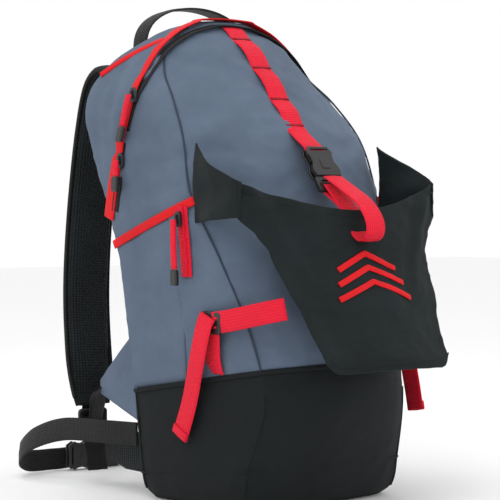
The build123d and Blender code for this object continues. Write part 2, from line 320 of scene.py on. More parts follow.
def plate(name, outline, holes, thick, origin, xAxis, yAxis, edge=0.6):
    # a moulded flat part with rounded edges: an outline with holes, in its own plane
    curve = bpy.data.curves.new(name, "CURVE")
    curve.dimensions = "2D"
    curve.fill_mode = "BOTH"
    curve.extrude = (thick / 2 - edge) * mm
    curve.bevel_depth = edge * mm
    curve.bevel_resolution = 2
    for shape in (outline, *holes):
        spline = curve.splines.new("POLY")
        spline.points.add(len(shape) - 1)
        for point, (x, y) in zip(spline.points, shape):
            point.co = (x * mm, y * mm, 0, 1)
        spline.use_cyclic_u = True
    piece = bpy.data.objects.new(name, curve)
    bpy.context.scene.collection.objects.link(piece)
    selectOnly(piece)
    bpy.ops.object.convert(target="MESH")
    piece = bpy.context.view_layer.objects.active
    placeMesh(piece, origin, xAxis, yAxis)
    piece.data.uv_layers.new(name="cloth")
    return piece


def placeMesh(piece, origin, xAxis, yAxis):
    x = Vector(xAxis).normalized()
    z = x.cross(Vector(yAxis)).normalized()
    y = z.cross(x)
    turn = Matrix((x, y, z)).transposed().to_4x4()
    piece.data.transform(Matrix.Translation(Vector(origin) * mm) @ turn)
    selectOnly(piece)
    bpy.ops.object.mode_set(mode="EDIT")
    bpy.ops.mesh.select_all(action="SELECT")
    bpy.ops.mesh.remove_doubles(threshold=0.000005)
    bpy.ops.mesh.normals_make_consistent(inside=False)
    bpy.ops.object.mode_set(mode="OBJECT")


def roundedBox(wide, high, radius, centre=(0, 0), steps=5):
    points = []
    for cx, cy, start in ((1, 1, 0), (-1, 1, 90), (-1, -1, 180), (1, -1, 270)):
        for k in range(steps + 1):
            a = math.radians(start + 90 * k / steps)
            points.append((centre[0] + cx * (wide / 2 - radius) + radius * math.cos(a),
                           centre[1] + cy * (high / 2 - radius) + radius * math.sin(a)))
    return points


def softBlock(name, size, origin, xAxis, yAxis, bevel, segments=3):
    # a moulded block made from a cube, bevelled in edit mode
    bpy.ops.object.select_all(action="DESELECT")
    bpy.ops.mesh.primitive_cube_add(size=1, location=(0, 0, 0))
    piece = bpy.context.view_layer.objects.active
    piece.name = name
    bpy.ops.object.mode_set(mode="EDIT")
    bpy.ops.mesh.select_all(action="SELECT")
    bpy.ops.transform.resize(value=tuple(s * mm for s in size))
    bpy.ops.mesh.bevel(offset=bevel * mm, segments=segments, affect="EDGES")
    bpy.ops.object.mode_set(mode="OBJECT")
    placeMesh(piece, origin, xAxis, yAxis)
    return piece


def puffed(piece, most):
    # padding under cloth: the cover is blown up a little, and no point moves further than most
    before = [v.co.copy() for v in piece.data.vertices]
    selectOnly(piece)
    cloth = piece.modifiers.new("puff", "CLOTH")
    cloth.settings.use_pressure = True
    cloth.settings.uniform_pressure_force = 4
    cloth.settings.effector_weights.gravity = 0
    cloth.point_cache.frame_start = 1
    cloth.point_cache.frame_end = 16
    for frame in range(1, 17):
        bpy.context.scene.frame_set(frame)
    bpy.ops.object.modifier_apply(modifier=cloth.name)
    for vertex, old in zip(piece.data.vertices, before):
        move = vertex.co - old
        if move.length > most * mm:
            vertex.co = old + move * (most * mm / move.length)
    bpy.context.scene.frame_set(1)
    piece.data.shade_smooth()


def wrinkled(point, normal, amount, scale, seed=0.0):
    # soft creases: slow waves with a finer crumple on top
    p = point / scale + Vector((seed, seed * 0.7, 0))
    slow = noise.noise(p)
    fold = 1 - abs(noise.noise(Vector((p.x * 1.3, p.y * 1.3, p.z * 2.2)) + Vector((7, 3, 1)))) * 2.4
    fine = noise.noise(p * 3.4)
    return point + normal * amount * (slow * 0.9 + max(fold, 0) * 0.45 + fine * 0.22)


# Materials
def linear(hexCode):  # an sRGB hex value made linear
    out = []
    for k in (0, 2, 4):
        c = int(hexCode[k:k + 2], 16) / 255
        out.append(c / 12.92 if c <= 0.04045 else ((c + 0.055) / 1.055) ** 2.4)
    return (*out, 1.0)


def addNode(material, kind, settings=None, links=None, **inputs):
    node = material.node_tree.nodes.new(kind)
    for key, value in (settings or {}).items():
        setattr(node, key, value)
    for key, value in inputs.items():
        node.inputs[key.replace("_", " ")].default_value = value
    for key, source in (links or {}).items():
        target = node.inputs[key] if isinstance(key, int) else node.inputs[key.replace("_", " ")]
        material.node_tree.links.new(source, target)
    return node


def clothMaterial(name, colour, shade, thread, rough, bump, sheen, ribs=False, worn=0.10):
    # woven cloth: threads over and under each other, with slow shade changes and a soft sheen
    material = bpy.data.materials.new(name)
    material.use_nodes = True
    shader = material.node_tree.nodes["Principled BSDF"]
    place = addNode(material, "ShaderNodeUVMap", {"uv_map": "cloth"})
    spot = addNode(material, "ShaderNodeTexCoord")
    turn = math.pi * 2 / (thread * mm)
    waves = []
    for axis, scale in (("X", turn), ("Y", turn)):
        if ribs:
            scale = scale if axis == "Y" else scale * 0.8
        waves.append(addNode(material, "ShaderNodeTexWave", {"wave_type": "BANDS", "bands_direction": axis},
                             {"Vector": place.outputs["UV"]}, Scale=scale / (2 * math.pi * 3.18), Distortion=0.6,
                             Detail=1.0, Detail_Scale=2.0))
    weave = addNode(material, "ShaderNodeMath", {"operation": "ADD" if ribs else "MULTIPLY"},
                    {0: waves[0].outputs["Fac"], 1: waves[1].outputs["Fac"]})
    slow = addNode(material, "ShaderNodeTexNoise", None, {"Vector": spot.outputs["Object"]}, Scale=14.0, Detail=4.0,
                   Roughness=0.6)
    fuzz = addNode(material, "ShaderNodeTexNoise", None, {"Vector": spot.outputs["Object"]}, Scale=900.0, Detail=2.0)
    blend = addNode(material, "ShaderNodeMath", {"operation": "MULTIPLY_ADD"},
                    {0: weave.outputs["Value"], 2: slow.outputs["Fac"]})
    blend.inputs[1].default_value = 0.25
    tone = addNode(material, "ShaderNodeMapRange", None, {"Value": blend.outputs["Value"]}, From_Min=0.3,
                   From_Max=0.95)
    mix = addNode(material, "ShaderNodeMix", {"data_type": "RGBA"}, {"Factor": tone.outputs["Result"]})
    mix.inputs[6].default_value = linear(shade)
    mix.inputs[7].default_value = linear(colour)
    dust = addNode(material, "ShaderNodeMix", {"data_type": "RGBA", "blend_type": "SOFT_LIGHT"},
                   {6: mix.outputs[2], 7: fuzz.outputs["Color"]})
    dust.inputs[0].default_value = worn
    roughness = addNode(material, "ShaderNodeMapRange", None, {"Value": slow.outputs["Fac"]}, To_Min=rough - 0.06,
                        To_Max=rough + 0.06)
    height = addNode(material, "ShaderNodeMath", {"operation": "MULTIPLY_ADD"},
                     {0: fuzz.outputs["Fac"], 2: weave.outputs["Value"]})
    height.inputs[1].default_value = 0.4
    relief = addNode(material, "ShaderNodeBump", None, {"Height": height.outputs["Value"]}, Strength=bump,
                     Distance=thread * mm * 0.25)
    link = material.node_tree.links.new
    link(dust.outputs[2], shader.inputs["Base Color"])
    link(roughness.outputs["Result"], shader.inputs["Roughness"])
    link(relief.outputs["Normal"], shader.inputs["Normal"])
    shader.inputs["Sheen Weight"].default_value = sheen
    shader.inputs["Sheen Roughness"].default_value = 0.5
    shader.inputs["Specular IOR Level"].default_value = 0.2
    return material


def mouldedMaterial(name, colour, shade, rough, metal=0.0):
    # moulded or cast part: an even colour with a fine spark-eroded grain and faint scuffs
    material = bpy.data.materials.new(name)
    material.use_nodes = True
    shader = material.node_tree.nodes["Principled BSDF"]
    spot = addNode(material, "ShaderNodeTexCoord")
    grain = addNode(material, "ShaderNodeTexNoise", None, {"Vector": spot.outputs["Object"]}, Scale=1400.0, Detail=2.0)
    scuff = addNode(material, "ShaderNodeTexNoise", None, {"Vector": spot.outputs["Object"]}, Scale=90.0, Detail=6.0)
    mix = addNode(material, "ShaderNodeMix", {"data_type": "RGBA"}, {"Factor": scuff.outputs["Fac"]})
    mix.inputs[6].default_value = linear(shade)
    mix.inputs[7].default_value = linear(colour)
    roughness = addNode(material, "ShaderNodeMapRange", None, {"Value": scuff.outputs["Fac"]}, To_Min=rough - 0.08,
                        To_Max=rough + 0.1)
    relief = addNode(material, "ShaderNodeBump", None, {"Height": grain.outputs["Fac"]}, Strength=0.25,
                     Distance=0.0001)
    link = material.node_tree.links.new
    link(mix.outputs[2], shader.inputs["Base Color"])
    link(roughness.outputs["Result"], shader.inputs["Roughness"])
    link(relief.outputs["Normal"], shader.inputs["Normal"])
    shader.inputs["Metallic"].default_value = metal
    return material


greyNylon = clothMaterial("slateOxfordNylon", "667588", "525f71", 1.2, 0.85, 0.5, 0.04)
blackNylon = clothMaterial("blackBallisticNylon", "1b2022", "101415", 1.6, 0.8, 0.6, 0.02)
slingNylon = clothMaterial("blackPackCloth", "20282a", "141a1b", 1.4, 0.85, 0.5, 0.02)
redWebbing = clothMaterial("redPolyesterWebbing", "ee1c38", "cc0f2a", 2.2, 0.65, 0.8, 0.02, ribs=True, worn=0.06)
redTape = clothMaterial("redBindingTape", "ea1820", "c80e18", 1.2, 0.65, 0.5, 0.02, worn=0.05)
blackWebbing = clothMaterial("blackNylonWebbing", "1d1f1d", "0d0f0d", 2.2, 0.55, 0.8, 0.03, ribs=True)
meshFoam = clothMaterial("blackSpacerMesh", "22282a", "060808", 3.0, 0.75, 1.0, 0.03, ribs=True)
zipCloth = clothMaterial("blackZipTape", "1c1d20", "0c0d0f", 1.8, 0.6, 0.8, 0.05, ribs=True)
darkThread = clothMaterial("redBartackThread", "a50c1c", "6c0712", 1.0, 0.6, 0.9, 0.02, ribs=True)
seamThread = clothMaterial("slateSeamThread", "3c4757", "2a323f", 0.8, 0.8, 0.6, 0.02, ribs=True)
acetal = mouldedMaterial("blackAcetal", "262626", "191919", 0.36)
castZinc = mouldedMaterial("paintedZincSlider", "34363a", "212327", 0.3, 0.3)
print("materials made")


# Bag cloth: one loop of side, front and back faces from the base seam to the ridge
def baseSeam(y):  # height of the seam between black base and grey cloth
    return bag["baseBack"] + (y - 60) * bag["baseSlope"]


def ringPoint(part, t, z):
    backY, backHalf, seamY, seamHalf, middleY, bulge, middle = corners(z)
    if part == "back":
        x, y = arcPoint((backHalf, backY), (0, backY + 5), (-backHalf, backY), t)
    elif part == "left":
        x, y = arcPoint((-backHalf, backY), (-bulge, middle), (-seamHalf, seamY), t)
    elif part == "front":
        x, y = arcPoint((-seamHalf, seamY), (0, middleY), (seamHalf, seamY), t)
    else:
        x, y = arcPoint((seamHalf, seamY), (bulge, middle), (backHalf, backY), t)
    return Vector((x, y, z))


def bagNormal(part, t, z):
    h = 2
    low, high = ringPoint(part, t, max(z - h, 0)), ringPoint(part, t, min(z + h, bag["ridge"]))
    one, two = ringPoint(part, max(t - 0.02, 0), z), ringPoint(part, min(t + 0.02, 1), z)
    n = (high - low).cross(two - one)
    n.normalize()
    middle = Vector((0, (levelAt(z)[0] + levelAt(z)[2]) / 2, z))
    return n if n.dot(ringPoint(part, t, z) - middle) > 0 else -n


creases = {
    "side": [((-32, 366), (14, 432), -3.4, 7), ((-32, 358), (48, 388), 2.6, 8), ((-30, 352), (52, 344), -2.6, 7),
             ((-24, 318), (60, 286), 2.4, 8), ((106, 446), (88, 322), -2.6, 6), ((120, 428), (96, 312), -2.2, 6),
             ((92, 452), (84, 380), 2.2, 6), ((64, 236), (60, 140), -2.4, 6), ((20, 470), (52, 400), 2.2, 9),
             ((-60, 210), (40, 240), 1.8, 12)],
    "front": [((-70, 452), (40, 408), -2.6, 8), ((-104, 372), (-30, 420), 3.0, 9), ((-100, 360), (-16, 352), -2.6, 8),
              ((96, 420), (30, 370), -2.4, 9), ((60, 466), (16, 420), 2.0, 8), ((104, 366), (30, 330), 2.6, 9),
              ((-90, 300), (60, 260), -2.4, 12), ((-60, 180), (80, 210), 2.2, 12)],
}


def creased(part, p):  # pulls and folds in the cloth, each along a line across a panel
    if part == "back":
        return 0
    a, z = (p.x, p.z) if part == "front" else (p.y, p.z)
    total = 0
    for (a0, z0), (a1, z1), depth, wide in creases["front" if part == "front" else "side"]:
        da, dz = a1 - a0, z1 - z0
        t = ((a - a0) * da + (z - z0) * dz) / (da * da + dz * dz)
        near = min(max(t, 0), 1)
        d = math.hypot(a - a0 - da * near, z - z0 - dz * near)
        total += depth * math.exp(-(d / wide) ** 2) * (1 - 0.6 * near)
    return total


def seamTuck(t):  # cloth dips a little at its seams and swells between them
    edge = min(t, 1 - t)
    return -1.0 + 2.2 * min(edge * 9, 1)


def bagRows(parts, lowOf, highOf, count, amount, seed):
    rows = []
    for r in range(count + 1):
        row = []
        for part, steps in parts:
            for k in range(steps):
                t = k / steps
                z = lowOf(part, t)
                for _ in range(1 if r else 3):  # the first row settles on a sloping seam
                    low = lowOf(part, t, ringPoint(part, t, z).y)
                    z = low + (highOf(part, t) - low) * r / count
                p = ringPoint(part, t, z)
                n = bagNormal(part, t, z)
                hold = min(r / 5, (count - r) / 5, 1)
                p = p + n * (seamTuck(t) + creased(part, p)) * hold
                row.append(wrinkled(p, n, amount * hold, 46, seed))
        rows.append(row)
    return rows


aroundBag = [("back", 44), ("left", 52), ("front", 60), ("right", 52)]


def seamHeight(part, t, y=None):
    if y is None:
        y = ringPoint(part, t, 120).y
    return baseSeam(y)


def makeUpperCloth():
    rows = bagRows(aroundBag, seamHeight, lambda part, t: bag["ridge"], 130, 2.6, 0.0)
    top = rows[-1]
    centre = Vector((0, 88, 503))
    for share in (0.7, 0.4, 0.12):
        rows.append([centre.lerp(p, share) for p in top])
    cloth = clothMesh("upperCloth", rows, loop=True)
    selectOnly(cloth)
    bpy.ops.object.mode_set(mode="EDIT")
    bpy.ops.mesh.select_all(action="SELECT")
    bpy.ops.mesh.bisect(plane_co=(0, bag["zipY"] * mm, 0), plane_no=(0, 1, 0))
    bpy.ops.object.mode_set(mode="OBJECT")
    for polygon in cloth.data.polygons:
        c = polygon.center / mm
        low = levelAt(c.z)
        behind = c.y > bag["zipY"] or (c.y > low[0] - 0.8 and abs(c.x) < low[1] - 0.4)
        polygon.select = behind
    bpy.ops.object.mode_set(mode="EDIT")
    bpy.ops.mesh.select_mode(type="FACE")
    bpy.ops.mesh.separate(type="SELECTED")
    bpy.ops.object.mode_set(mode="OBJECT")
    backCloth = [o for o in bpy.context.selected_objects if o is not cloth][0]
    cloth.name, backCloth.name = "frontCloth", "backCloth"
    for piece in (cloth, backCloth):
        applyModifier(piece, "SOLIDIFY", thickness=2.4 * mm, offset=-1.0)
        piece.data.shade_smooth()
    finishPiece(backCloth, greyNylon, "bag", ("back_panel", "top_panel", "left_gusset", "right_gusset"))
    finishPiece(cloth, greyNylon, None, ("front_panel", "left_panel", "right_panel", "lid_front_panel",
                                         "lid_side_panels"))
    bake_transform(cloth)


def makeBase():
    rows = []
    for share in (0.05, 0.4, 0.8, 0.95):
        ring = [ringPoint(part, k / steps, 0) for part, steps in aroundBag for k in range(steps)]
        rows.append([Vector((p.x * share, -14 + (p.y + 14) * share, 0.2)) for p in ring])
    rows += bagRows(aroundBag, lambda part, t, y=None: 0.3, lambda part, t: seamHeight(part, t), 46, 1.1, 5.0)
    base = clothMesh("baseCloth", rows, loop=True, thick=2.6)
    finishPiece(base, blackNylon, "bag", ("base_shell",))


def sideNormal(sign, y, z):
    return normalOf(lambda a, b: sidePoint(sign, a, b), y, z, Vector((sign, -0.2, 0.1)))


def frontNormal(x, z):
    return normalOf(frontPoint, x, z, Vector((0, -1, 0.3)))


def makeSeams():
    # corded seams up the front corners and round the top of the base
    parts = []
    for sign in (-1, 1):
        points = []
        for k in range(60):
            z = 140 + (492 - 140) * k / 59
            seamY, seamHalf = levelAt(z)[2:4]
            points.append(Vector((sign * (seamHalf + 0.5), seamY - 0.4, z)))
        parts.append(webbing("frontSeam", points, Vector((sign, -1, 0)).normalized(), 2.0, 1.6))
    seams = joinPieces("frontSeams", parts)
    finishPiece(seams, seamThread, None, ())
    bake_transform(seams)
    ring = []
    for part, steps in aroundBag:
        for k in range(steps):
            z = 120
            for _ in range(4):
                z = baseSeam(ringPoint(part, k / steps, z).y)
            n = bagNormal(part, k / steps, z)
            ring.append((ringPoint(part, k / steps, z) + n * 0.8, n))
    ring.append(ring[0])
    piping = webbing("baseSeamTape", [p for p, n in ring], [n for p, n in ring], 5.0, 2.0)
    finishPiece(piping, blackNylon, "bag", ())
    parts = []
    for part, t in (("left", 0.0), ("left", 1.0), ("front", 1.0), ("right", 1.0)):
        route, outs = [], []
        for k in range(24):
            z = 10 + 106 * k / 23
            p = ringPoint(part, t, z)
            outs.append(Vector((p.x, p.y + 20, 0)).normalized())
            route.append(p - outs[-1] * 0.9)
        parts.append(webbing("corner", route, outs, 2.4, 1.8))
    low = []
    for part, steps in aroundBag:
        for k in range(steps):
            z = 34 - (ringPoint(part, k / steps, 30).y + 20) * 0.1
            n = bagNormal(part, k / steps, z)
            low.append((ringPoint(part, k / steps, z) + n * 0.3, n))
    low.append(low[0])
    parts.append(webbing("lowSeam", [p for p, n in low], [n for p, n in low], 2.4, 1.8))
    finishPiece(joinPieces("baseSeams", parts), blackNylon, "bag", ())


makeUpperCloth()
makeBase()
makeSeams()
print("bag cloth made")

# Main zip, its storm flap and the yoke binding
flap = {"wide": 17, "thick": 1.6, "tapeWide": 15}


def archRoute(y, lowZ, bow):
    # up the left side, over the ridge and down the right side in a plane of constant y
    top = bag["ridge"]
    for z in range(480, bag["ridge"]):
        if levelAt(z)[4] > y - 2:
            top = z
            break
    left = []
    for k in range(40):
        z = lowZ + (top - lowZ) * (1 - (1 - k / 39) ** 1.6)
        left.append(sidePoint(-1, y - bow * math.exp(-((z - 395) / 48) ** 2), z))
    right = [Vector((-p.x, p.y, p.z)) for p in left]
    middle = [Vector((0, y, top + 1.2))]
    return left, middle, right[::-1]


def routeNormals(points, centre):
    out = []
    for i, p in enumerate(points):
        along = directionAt(points, i)
        n = p - centre(p)
        n = (n - along * n.dot(along)).normalized()
        out.append(n)
    return out


def makeMainZip():
    left, middle, right = archRoute(bag["zipY"] + 3.5, 374, 8)
    tail = [sidePoint(-1, y, z) for y, z in ((92, 290), (85, 312), (79, 334), (75.5, 354))]
    tailRight = [Vector((-p.x, p.y, p.z)) for p in tail]
    route = curveThrough(tail + left[::3] + middle + right[::3] + tailRight[::-1], 150)
    centre = lambda p: Vector((0, p.y, min(p.z, 430)))
    normals = routeNormals(route, centre)
    flapPiece = surfaceBand("stormFlap", route, normals, flap["wide"], flap["thick"], 1.4)
    finishPiece(flapPiece, redTape, "bag", ("storm_flap",))
    left, middle, right = archRoute(bag["zipY"] - 7, 380, 2)
    route = curveThrough(left[::3] + middle + right[::3], 120)
    tape = surfaceBand("lidZipTape", route, routeNormals(route, centre), flap["tapeWide"], 1.2, 0.8)
    coil = surfaceBand("lidZipCoil", [p + Vector((0, 3, 0)) for p in route], routeNormals(route, centre), 5, 2.4, 1.0)
    lidTape = joinPieces("lidZipTape", [tape, coil])
    finishPiece(lidTape, zipCloth, "lid", ("lid_zip_tape",))
    parts = []
    for sign in (-1, 1):
        route = curveThrough([sidePoint(sign, y, z) for y, z in ((71, 368), (72, 350), (74, 330), (78, 312),
                                                                  (82, 298))], 40)
        normals = [Vector((sign, 0, 0))] * len(route)
        parts.append(surfaceBand("sideTape", route, normals, 14, 1.2, 0.8))
        parts.append(surfaceBand("sideCoil", [p + Vector((0, 2, 0)) for p in route], normals, 5, 2.4, 1.0))
    finishPiece(joinPieces("sideZipTape", parts), zipCloth, "bag", ("main_zip_tape",))
    parts = []
    for sign in (-1, 1):
        route = curveThrough([sidePoint(sign, y, z) for y, z in ((84, 478), (94, 471), (105, 463), (118, 453),
                                                                  (132, 441))], 30)
        parts.append(surfaceBand("yokeBinding", route, routeNormals(route, centre), 6, 1.8, 0.6))
    finishPiece(joinPieces("yokeBinding", parts), redTape, "bag", ("yoke_binding",))


makeMainZip()
print("main zip made")

# Side pockets
pocket = {"swell": 5.0, "lip": 9.0, "zipWide": 14.0}


def pocketTop(y):
    return 260 + (84 - y) * 45 / 116


def makePockets():
    for side, sign in sides:
        rows = []
        for r in range(31):
            row = []
            for k in range(41):
                y = -12 + (80 - -12) * k / 40
                low = baseSeam(y) + 4
                z = low + (pocketTop(y) - low) * r / 30
                y2 = min(y, levelAt(z)[0] - 3)
                s, t = k / 40, r / 30
                swell = pocket["swell"] * (16 * s * (1 - s) * t * (1 - t)) ** 0.6
                n = sideNormal(sign, y2, z)
                row.append(wrinkled(sidePoint(sign, y2, z) + n * (1.6 + swell), n, 1.4 * min(1, 6 * s, 6 * (1 - s)), 34,
                                    3.0))
            rows.append(row)
        panel = clothMesh(f"{side}PocketPanel", rows, thick=1.4, flip=sign < 0)
        finishPiece(panel, greyNylon, "bag", (f"{side}_pocket",))
        route = curveThrough([sidePoint(sign, y, pocketTop(y) + 3) for y in (-32, -14, 8, 34, 60, 85)], 60)
        lip = surfaceBand(f"{side}PocketBinding", route, [sideNormal(sign, p.y, p.z) for p in route], pocket["lip"],
                          2.0, 1.8)
        finishPiece(lip, redTape, "bag", (f"{side}_pocket_binding",))
        route = curveThrough([sidePoint(sign, -20, z) for z in (232, 250, 268, 286, 303)], 60)
        normals = [sideNormal(sign, p.y, p.z) for p in route]
        tape = surfaceBand("pocketTape", route, normals, pocket["zipWide"], 1.2, 3.6)
        coil = surfaceBand("pocketCoil", route, normals, 4.5, 2.4, 4.0)
        finishPiece(joinPieces(f"{side}PocketZip", [tape, coil]), redWebbing, "bag", (f"{side}_pocket_zip",))


makePockets()
print("pockets made")


# Zip sliders and pulls
def makeSlider(name, node, pullNode, runner, tab):
    low, high = (Vector(v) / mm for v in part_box(node))
    centre = (low + high) / 2
    sign = -1 if centre.x < 0 else 1
    face = Vector((sign, 0, 0))
    body = plate(name, [(-4.5, -6), (-3, -7.5), (3, -7.5), (4.5, -6), (4.5, 3), (2, 7), (-2, 7), (-4.5, 3)], (), 3.2,
                 centre - face * 0.6, (0, -sign, 0), (0, 0, 1))
    bridge = softBlock("bridge", (2.4, 9, 3.0), centre + face * 1.7, (0, -sign, 0), (0, 0, 1), 0.9)
    slider = joinPieces(name, [body, bridge])
    finishPiece(slider, castZinc, runner, (node,))
    low, high = (Vector(v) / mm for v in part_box(pullNode))
    top = Vector((sign * (abs(centre.x) + 5), centre.y, high.z - 0.6))
    outer = max(abs(low.x), abs(high.x))
    end = Vector((sign * (outer - 3), centre.y, low.z + 1))
    tipTop = top.lerp(end, 1 - 17 / (end - top).length)
    route = curveThrough([top, top.lerp(tipTop, 0.5) + face * 0.5, tipTop], 16)
    strap = webbing(name + "Tab", route, face, 8, 2.6)
    finishPiece(strap, redWebbing, tab, (pullNode,))
    tip = softBlock(name + "Tip", (10.5, 16, 5), (tipTop + end) / 2, (0, -sign, 0), end - tipTop, 1.8, 4)
    finishPiece(tip, acetal, tab, ())


for place in ("upper", "lower"):
    makeSlider(f"{place}MainSlider", f"{place}_main_slider", f"{place}_main_pull", f"{place}_slider", f"{place}_tab")
for side, sign in sides:
    makeSlider(f"{side}PocketSlider", f"{side}_pocket_slider", f"{side}_pocket_pull", f"{side}_pocket_runner",
               f"{side}_pocket_tab")
print("sliders made")

# Daisy chain and front buckle
daisy = {"wide": 25, "tacks": (478, 446, 412, 384), "rise": 3.0}
frontBuckle = {"place": Vector((0, -70, 357)), "up": Vector((0, 0.57, 0.82)).normalized(),
               "out": Vector((0, -0.82, 0.57)).normalized()}


def makeDaisy():
    def route(low, high, count):
        return [frontPoint(0, low + (high - low) * k / (count - 1)) for k in range(count)]
    points = route(352, 492, 110)
    normals = [frontNormal(0, p.z) for p in points]
    lifted = []
    for p, n in zip(points, normals):
        near = min(abs(p.z - tack) for tack in (*daisy["tacks"], 352, 494))
        lifted.append(p + n * (1.8 + daisy["rise"] * min(near / 12, 1)))
    origin, up, out = frontBuckle["place"], frontBuckle["up"], frontBuckle["out"]
    reach = curveThrough([origin + out * 5 - up * 6, origin + out * 5 + up * 3, Vector((0, -62, 369)), lifted[18]], 16)
    lifted = reach[:-1] + lifted[18:]
    normals = [out] * 15 + normals[18:]
    strap = webbing("daisyChain", lifted, normals, daisy["wide"], 1.8)
    finishPiece(strap, redWebbing, None, ("daisy_chain", "buckle_strap"))
    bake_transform(strap)
    parts = []
    for tack in daisy["tacks"]:
        n = frontNormal(0, tack)
        parts.append(softBlock("bartack", (24, 2.4, 1.2), frontPoint(0, tack) + n * 3.2, (1, 0, 0),
                               n.cross(Vector((1, 0, 0))), 0.5))
    finishPiece(joinPieces("bartacks", parts), darkThread, "lid", ())


def buckleSocket(name, origin, xAxis, yAxis, wide, long, deep, body, node):
    # a side-release socket: shell with two side windows, a strap bar at its far end
    half = wide / 2
    shell = [(-half * 0.72, 0), (half * 0.72, 0), (half * 0.95, -long * 0.18), (half * 0.82, -long * 0.32),
             (half * 0.78, -long * 0.55), (half * 0.95, -long * 0.72), (half, -long * 0.84), (half * 0.9, -long),
             (-half * 0.9, -long), (-half, -long * 0.84), (-half * 0.95, -long * 0.72), (-half * 0.78, -long * 0.55),
             (-half * 0.82, -long * 0.32), (-half * 0.95, -long * 0.18)]
    slotHole = roundedBox(wide * 0.72, 4, 1.5, (0, -long * 0.1))
    z = Vector(xAxis).cross(Vector(yAxis)).normalized()
    back = plate(name, shell, (slotHole,), 2.4, Vector(origin) + z * 1.4, xAxis, yAxis, 0.8)
    front = plate(name, shell, (slotHole,), 2.6, Vector(origin) + z * (deep - 1.6), xAxis, yAxis, 1.0)
    parts = [back, front]
    for s in (-1, 1):
        parts.append(softBlock("wallPost", (3, long * 0.3, deep - 2), Vector(origin) + Vector(xAxis) * s * half * 0.62
                               - Vector(yAxis).normalized() * long * 0.3 + z * deep / 2, xAxis, yAxis, 0.8))
    parts.append(softBlock("rib", (wide * 0.3, long * 0.34, 1.6), Vector(origin) - Vector(yAxis).normalized()
                           * long * 0.62 + z * (deep - 0.2), xAxis, yAxis, 0.7))
    finishPiece(joinPieces(name, parts), acetal, body, (node,))


def bucklePlug(name, origin, xAxis, yAxis, wide, long, deep, reach, body, node):
    # the plug: two flexing side prongs and a guide tongue, with a ladder of two strap bars
    half = wide / 2
    z = Vector(xAxis).cross(Vector(yAxis)).normalized()
    holes = (roundedBox(wide * 0.74, 3.6, 1.2, (0, -long * 0.36)), roundedBox(wide * 0.74, 3.2, 1.2, (0, -long * 0.72)))
    frameShape = roundedBox(wide, long, 3, (0, -long / 2))
    parts = [plate(name, frameShape, holes, deep * 0.55, Vector(origin) + z * deep / 2, xAxis, yAxis, 1.0)]
    for s in (-1, 1):
        prong = [(s * half * a, b) for a, b in ((0.45, -1), (0.7, -1), (0.92, reach * 0.45), (0.74, reach * 0.8),
                                                (0.5, reach), (0.42, reach * 0.6))]
        parts.append(plate("prong", prong, (), deep * 0.38, Vector(origin) + z * deep / 2, xAxis, yAxis, 0.7))
    parts.append(softBlock("tongue", (3, reach, 2.4), Vector(origin) + Vector(yAxis).normalized() * reach * 0.45
                           + z * deep / 2, xAxis, yAxis, 0.6))
    finishPiece(joinPieces(name, parts), acetal, body, (node,))


def makeFrontBuckle():
    origin, up, out = frontBuckle["place"], frontBuckle["up"], frontBuckle["out"]
    buckleSocket("frontBuckleSocket", origin, (1, 0, 0), up, 33, 34, 11, "bag", "front_buckle_socket")
    bucklePlug("frontBucklePlug", origin - up * 34.8, (1, 0, 0), up, 33, 16, 11, 20, "front_plug", "front_buckle_plug")
    bar = origin - up * 41 + out * 5
    tail = [bar + out * 1, bar - up * 6 + out * 4, Vector((0, -126, 302)), Vector((0, -139, 285)), Vector((0, -149, 273)),
            Vector((0, -158, 269)), Vector((0, -167, 274)), Vector((0, -169, 284)), Vector((0, -163, 296)),
            Vector((0, -149, 309)), Vector((0, -128, 320)), bar + up * 2 + out * 8]
    loop = curveThrough(tail, 70)
    normals = routeNormals(loop, lambda p: Vector((0, -150, 290)))
    piece = webbing("slingStrapTail", loop, normals, 24, 1.8)
    under = webbing("slingStrap", curveThrough([bar - out * 3, bar - up * 9 - out * 2, Vector((0, -128, 301)),
                                               Vector((0, -137, 288))], 30), out, 24, 1.8)
    finishPiece(joinPieces("slingStrapTail", [piece, under]), redWebbing, None, ("sling_strap_tail",))
    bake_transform(bpy.data.objects["slingStrapTail"])


makeDaisy()
makeFrontBuckle()
print("front buckle made")

# Sling
sling = {"bottom": 144, "corner": 326, "middle": 299, "thick": 2.2}
slingSteps = [(334, 129), (292, 128), (275, 112), (258, 101), (225, 95), (190, 85), (160, 80), (144, 79)]
slingDepths = [(334, 134, -108, -127), (300, 130, -112, -140), (256, 128, -116, -151), (200, 124, -146, -178),
               (136, 120, -186, -206)]


def along(table, z, k):  # a value from rows that go down in height, smoothed
    for a, b in zip(table, table[1:]):
        if z >= b[0]:
            t = (a[0] - z) / (a[0] - b[0])
            return a[k] + (b[k] - a[k]) * (t * t * (3 - 2 * t) * 0.5 + t * 0.5)
    return table[-1][k]


def slingPoint(x, z):
    half, sideY, middleY = (along(slingDepths, z, k) for k in (1, 2, 3))
    ux, uy, radius = circleThrough((-half, sideY), (0, middleY), (half, sideY))
    return Vector((x, uy - math.sqrt(max(radius**2 - x * x, 0)), z))


def slingNormal(x, z):
    return normalOf(slingPoint, x, z, Vector((0, -1, 0)))


def slingFolded(x, z):
    # the hanging cloth: a diagonal crease from each corner, a soft belly and a waved hem
    p = slingPoint(x, z)
    n = slingNormal(x, z)
    fall = (326 - z) / 182
    push = 0.0
    for sign in (-1, 1):
        line = (sign * x) - (118 - fall * 95)
        push += 4.2 * math.exp(-(line / 9) ** 2) * max(0, 1 - fall * 1.5)
        push -= 2.6 * math.exp(-((line + 17) / 10) ** 2) * max(0, 1 - fall * 1.3)
    push += 2.0 * math.sin(x / 21 + 1) * fall**2
    p = p + n * push
    return wrinkled(p, n, 1.5, 30, 9.0)


